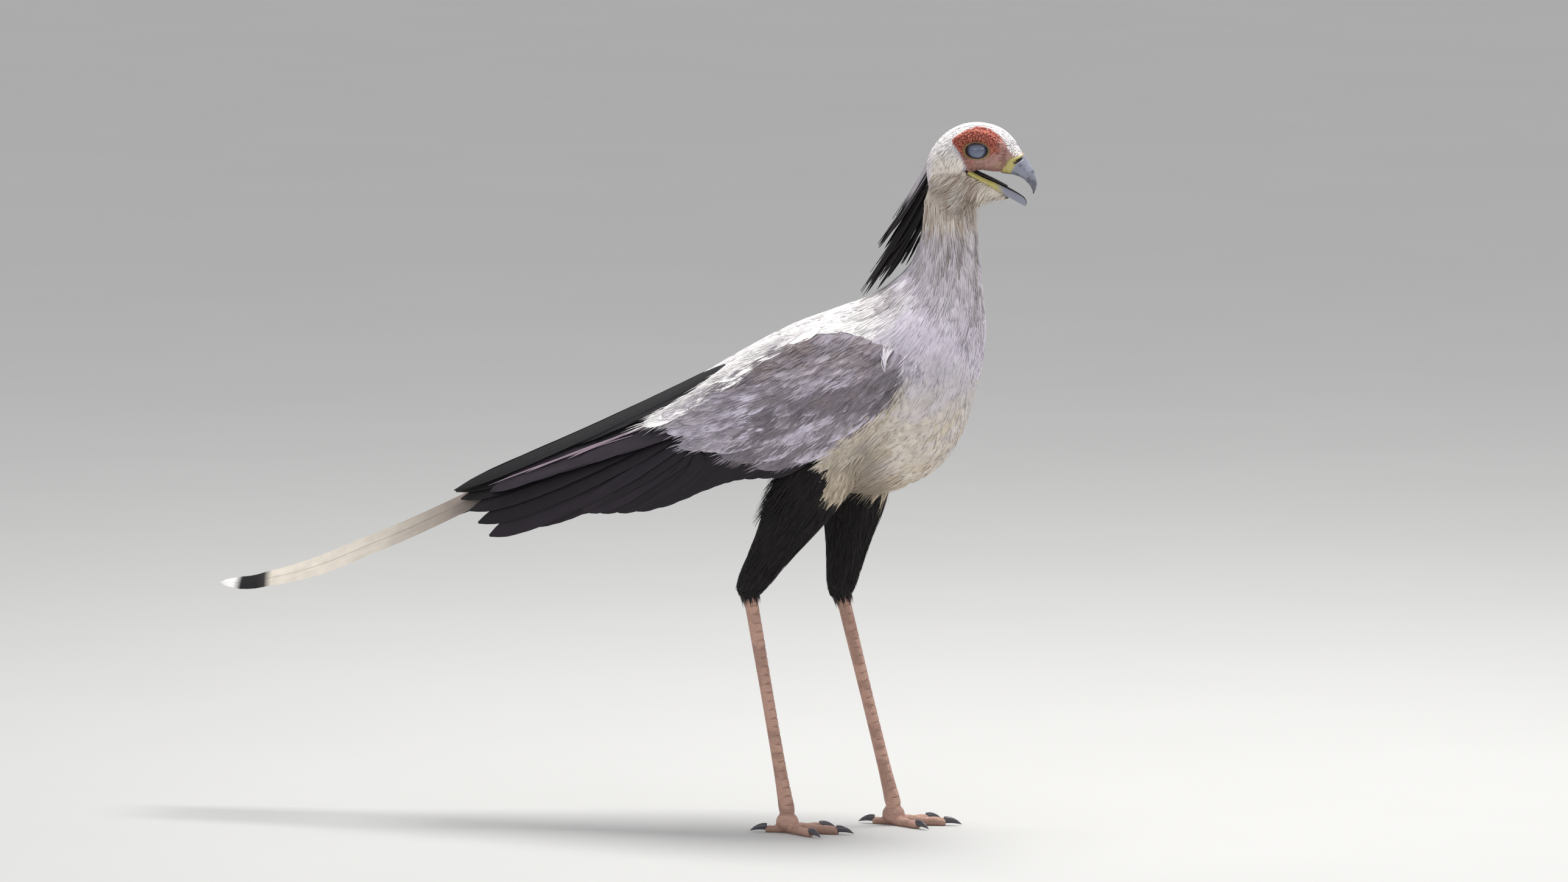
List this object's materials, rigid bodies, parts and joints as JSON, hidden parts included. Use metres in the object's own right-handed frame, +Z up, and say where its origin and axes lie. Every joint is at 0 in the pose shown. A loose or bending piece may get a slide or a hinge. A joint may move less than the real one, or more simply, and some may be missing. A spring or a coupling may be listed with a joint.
{
  "type": "secretary bird",
  "caption": "Still life-size secretary bird in mid stride with its bill open, wings folded and long tail feathers trailing.",
  "frame": {"origin": "on the floor, under the middle of the bird's bounding box", "axes": "+X the way the bird faces, +Y its left side, +Z up"},
  "size_m": [1.069, 0.2184, 0.9018],
  "materials": {
    "body_feathers": "soft pale grey to white plumage",
    "wing_feathers": "grey coverts over black flight feathers",
    "tail_feathers": "black, with pale grey long middle pair tipped white",
    "thigh_feathers": "soft black plumage",
    "face_skin": "rough orange-red skin, off-white feathers behind it, black crest",
    "bill_horn": "blue-grey horn with a yellow base",
    "mouth_skin": "dark moist skin",
    "eye_membrane": "moist blue-grey membrane",
    "leg_skin": "pinkish scaled skin",
    "claw_horn": "dark horn"
  },
  "bodies": {
    "root": {"torso": "body_feathers", "neck": "body_feathers", "head": "face_skin", "upper_bill": "bill_horn", "lower_bill": "bill_horn", "tongue": "mouth_skin", "eye_right": "eye_membrane", "eye_left": "eye_membrane", "wing_right": "wing_feathers", "wing_left": "wing_feathers", "tail": "tail_feathers", "thigh_right": "thigh_feathers", "tarsus_right": "leg_skin", "foot_right": "leg_skin", "claw_right_middle": "claw_horn", "claw_right_inner": "claw_horn", "claw_right_outer": "claw_horn", "claw_right_rear": "claw_horn", "thigh_left": "thigh_feathers", "tarsus_left": "leg_skin", "foot_left": "leg_skin", "claw_left_middle": "claw_horn", "claw_left_inner": "claw_horn", "claw_left_outer": "claw_horn", "claw_left_rear": "claw_horn"}
  },
  "joints": []
}
